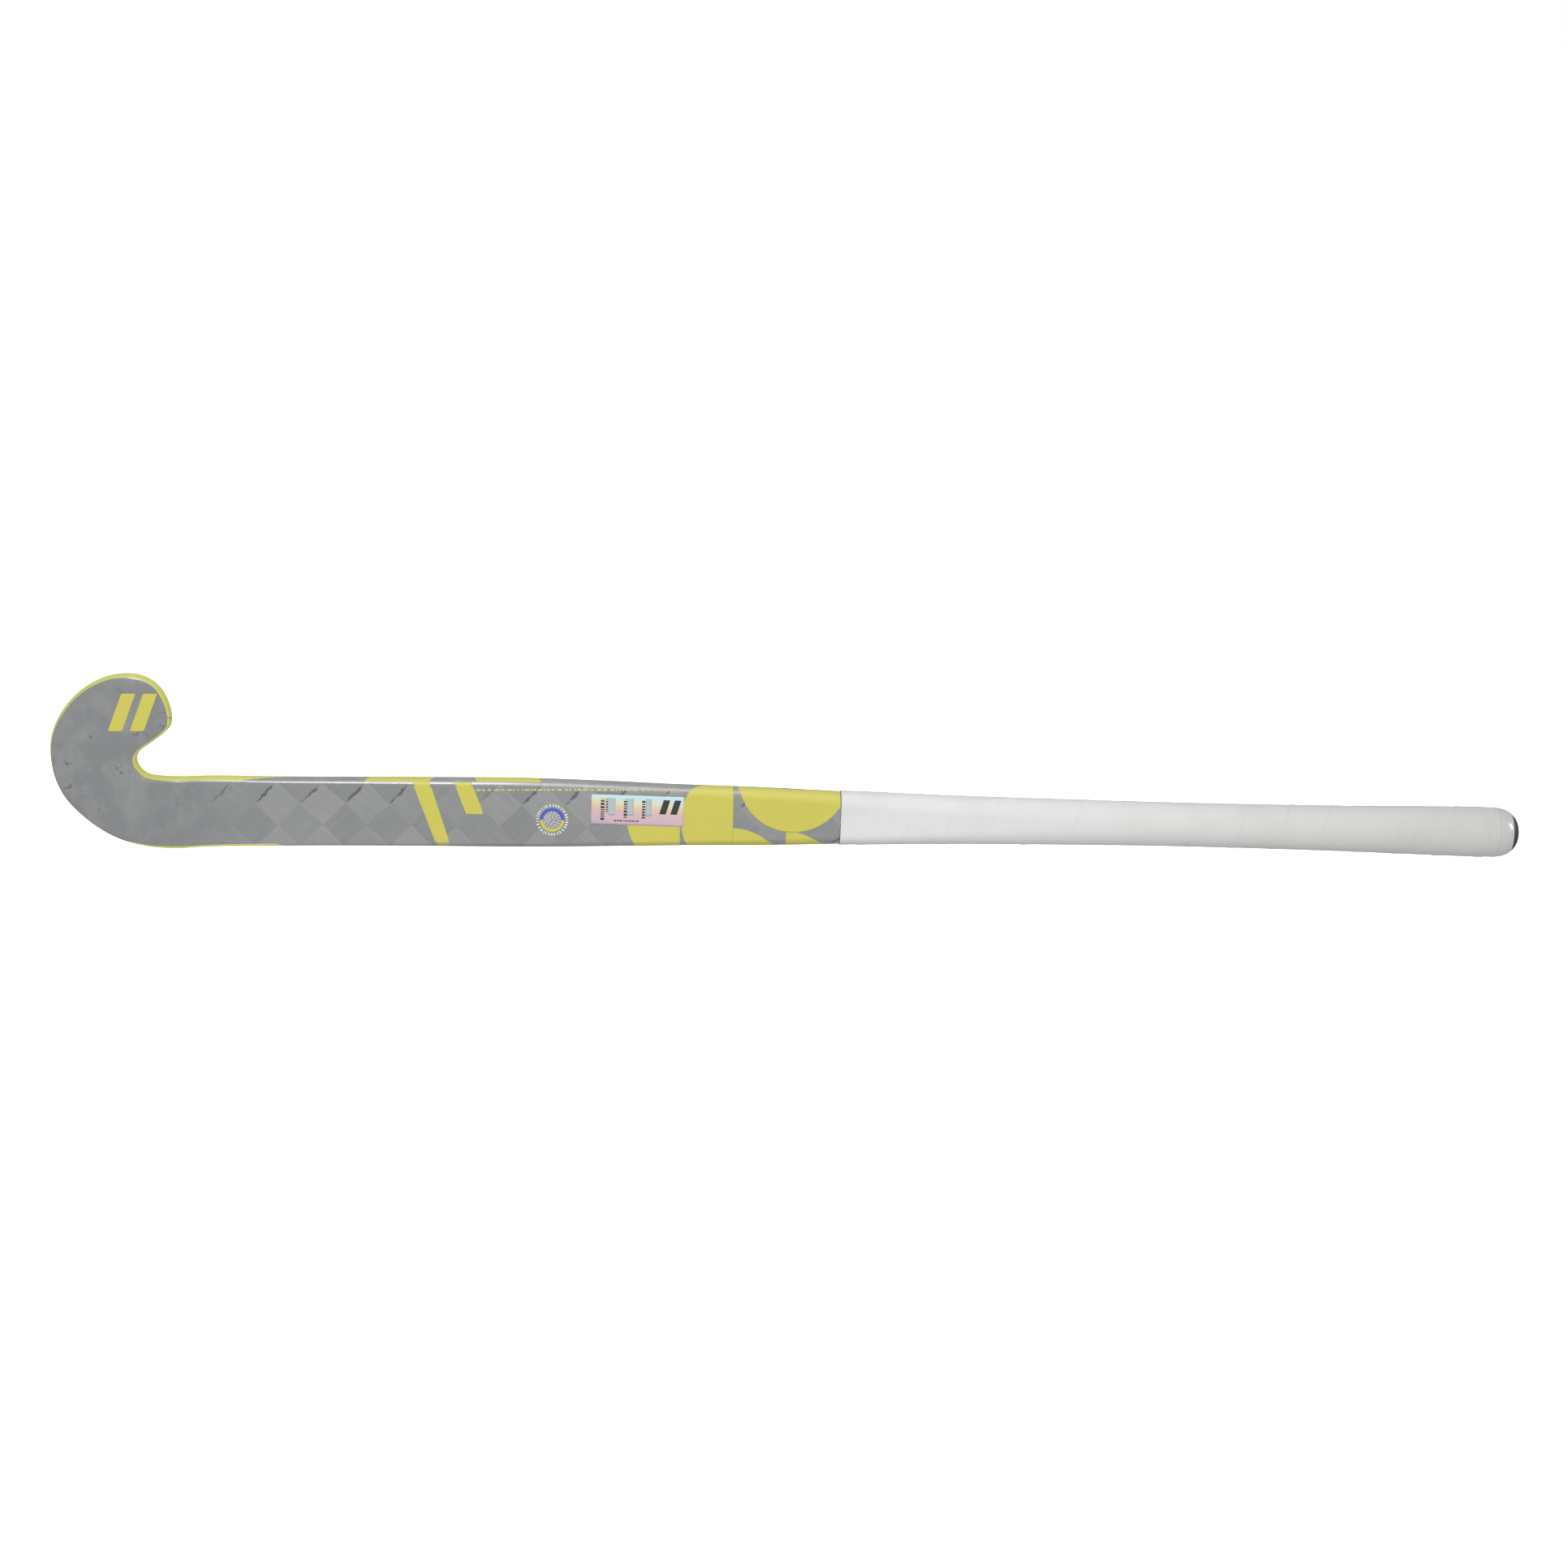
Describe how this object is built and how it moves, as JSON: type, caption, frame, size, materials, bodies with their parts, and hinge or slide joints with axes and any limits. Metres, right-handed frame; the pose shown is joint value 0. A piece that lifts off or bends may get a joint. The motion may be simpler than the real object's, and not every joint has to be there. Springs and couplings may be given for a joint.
{
  "type": "field hockey stick",
  "caption": "Bowed composite field hockey stick with a flat hitting face, a curved hook head, a spiral-wound grip and a rubber butt cap.",
  "frame": {"origin": "on the handle's axis, 70 mm from the butt's tip, where the top hand holds the stick", "axes": "+X along the stick towards the butt, +Y from the flat face towards the rounded back, +Z across the stick towards the toe; the flat hitting side faces -Y"},
  "size_m": [0.9292, 0.0407, 0.1093],
  "materials": {
    "painted_laminate": "clear-coated grey carbon weave with yellow edges and graphics",
    "bare_laminate": "bare carbon laminate, unpainted",
    "aramid_sheet": "resin-wetted aramid cloth",
    "core_foam": "rigid polyurethane foam",
    "grip_tape": "off-white soft polyurethane tape, spiral wound",
    "edge_tape": "white finishing tape",
    "collar_band": "glossy white plastic band",
    "cap_rubber": "black moulded rubber",
    "label_film": "iridescent printed film"
  },
  "bodies": {
    "root": {"outer_shell": "painted_laminate", "impact_layer": "aramid_sheet", "head_core": "core_foam", "toe_side_tube": "bare_laminate", "heel_side_tube": "bare_laminate", "toe_side_handle_foam": "core_foam", "heel_side_handle_foam": "core_foam", "grip_wrap": "grip_tape", "finishing_tape": "edge_tape", "butt_collar": "collar_band", "end_cap": "cap_rubber", "spec_label": "label_film"}
  },
  "joints": []
}
